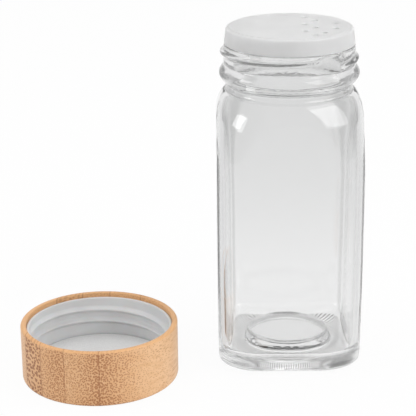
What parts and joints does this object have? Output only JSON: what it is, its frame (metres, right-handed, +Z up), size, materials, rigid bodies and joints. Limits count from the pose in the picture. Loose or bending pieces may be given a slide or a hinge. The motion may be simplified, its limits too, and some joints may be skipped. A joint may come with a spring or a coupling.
{
  "type": "spice jar",
  "caption": "Square clear glass spice jar with a round screw neck, a push-fit sprinkler cap, and a round bamboo screw lid lying upside down beside it.",
  "frame": {"origin": "middle of the jar's base, on the surface that the jar stands on", "axes": "+Z up along the jar's neck axis; -Y is the jar's front face, square to the body; the lid lies towards -X and a little towards -Y"},
  "size_m": [0.1056, 0.0651, 0.1053],
  "materials": {
    "glass": "clear moulded soda-lime glass, polished",
    "cap_plastic": "translucent frosted polypropylene",
    "bamboo": "laminated bamboo, sanded, clear satin lacquer",
    "liner_plastic": "white moulded polypropylene, soft gloss",
    "seal_foam": "closed-cell polyethylene foam with a smooth skin"
  },
  "bodies": {
    "jar": {"glass_jar": "glass"},
    "shaker": {"shaker_cap": "cap_plastic"},
    "lid": {"bamboo_shell": "bamboo", "threaded_liner": "liner_plastic", "seal_disc": "seal_foam"}
  },
  "joints": [
    {"name": "shaker_lift", "type": "slide", "parent": "jar", "child": "shaker", "axis": [0, 0, 1], "range_m": [0, 0.03]},
    {"name": "lid_lift", "type": "slide", "parent": "jar", "child": "lid", "axis": [0, 0, 1], "range_m": [0, 0.11]}
  ]
}
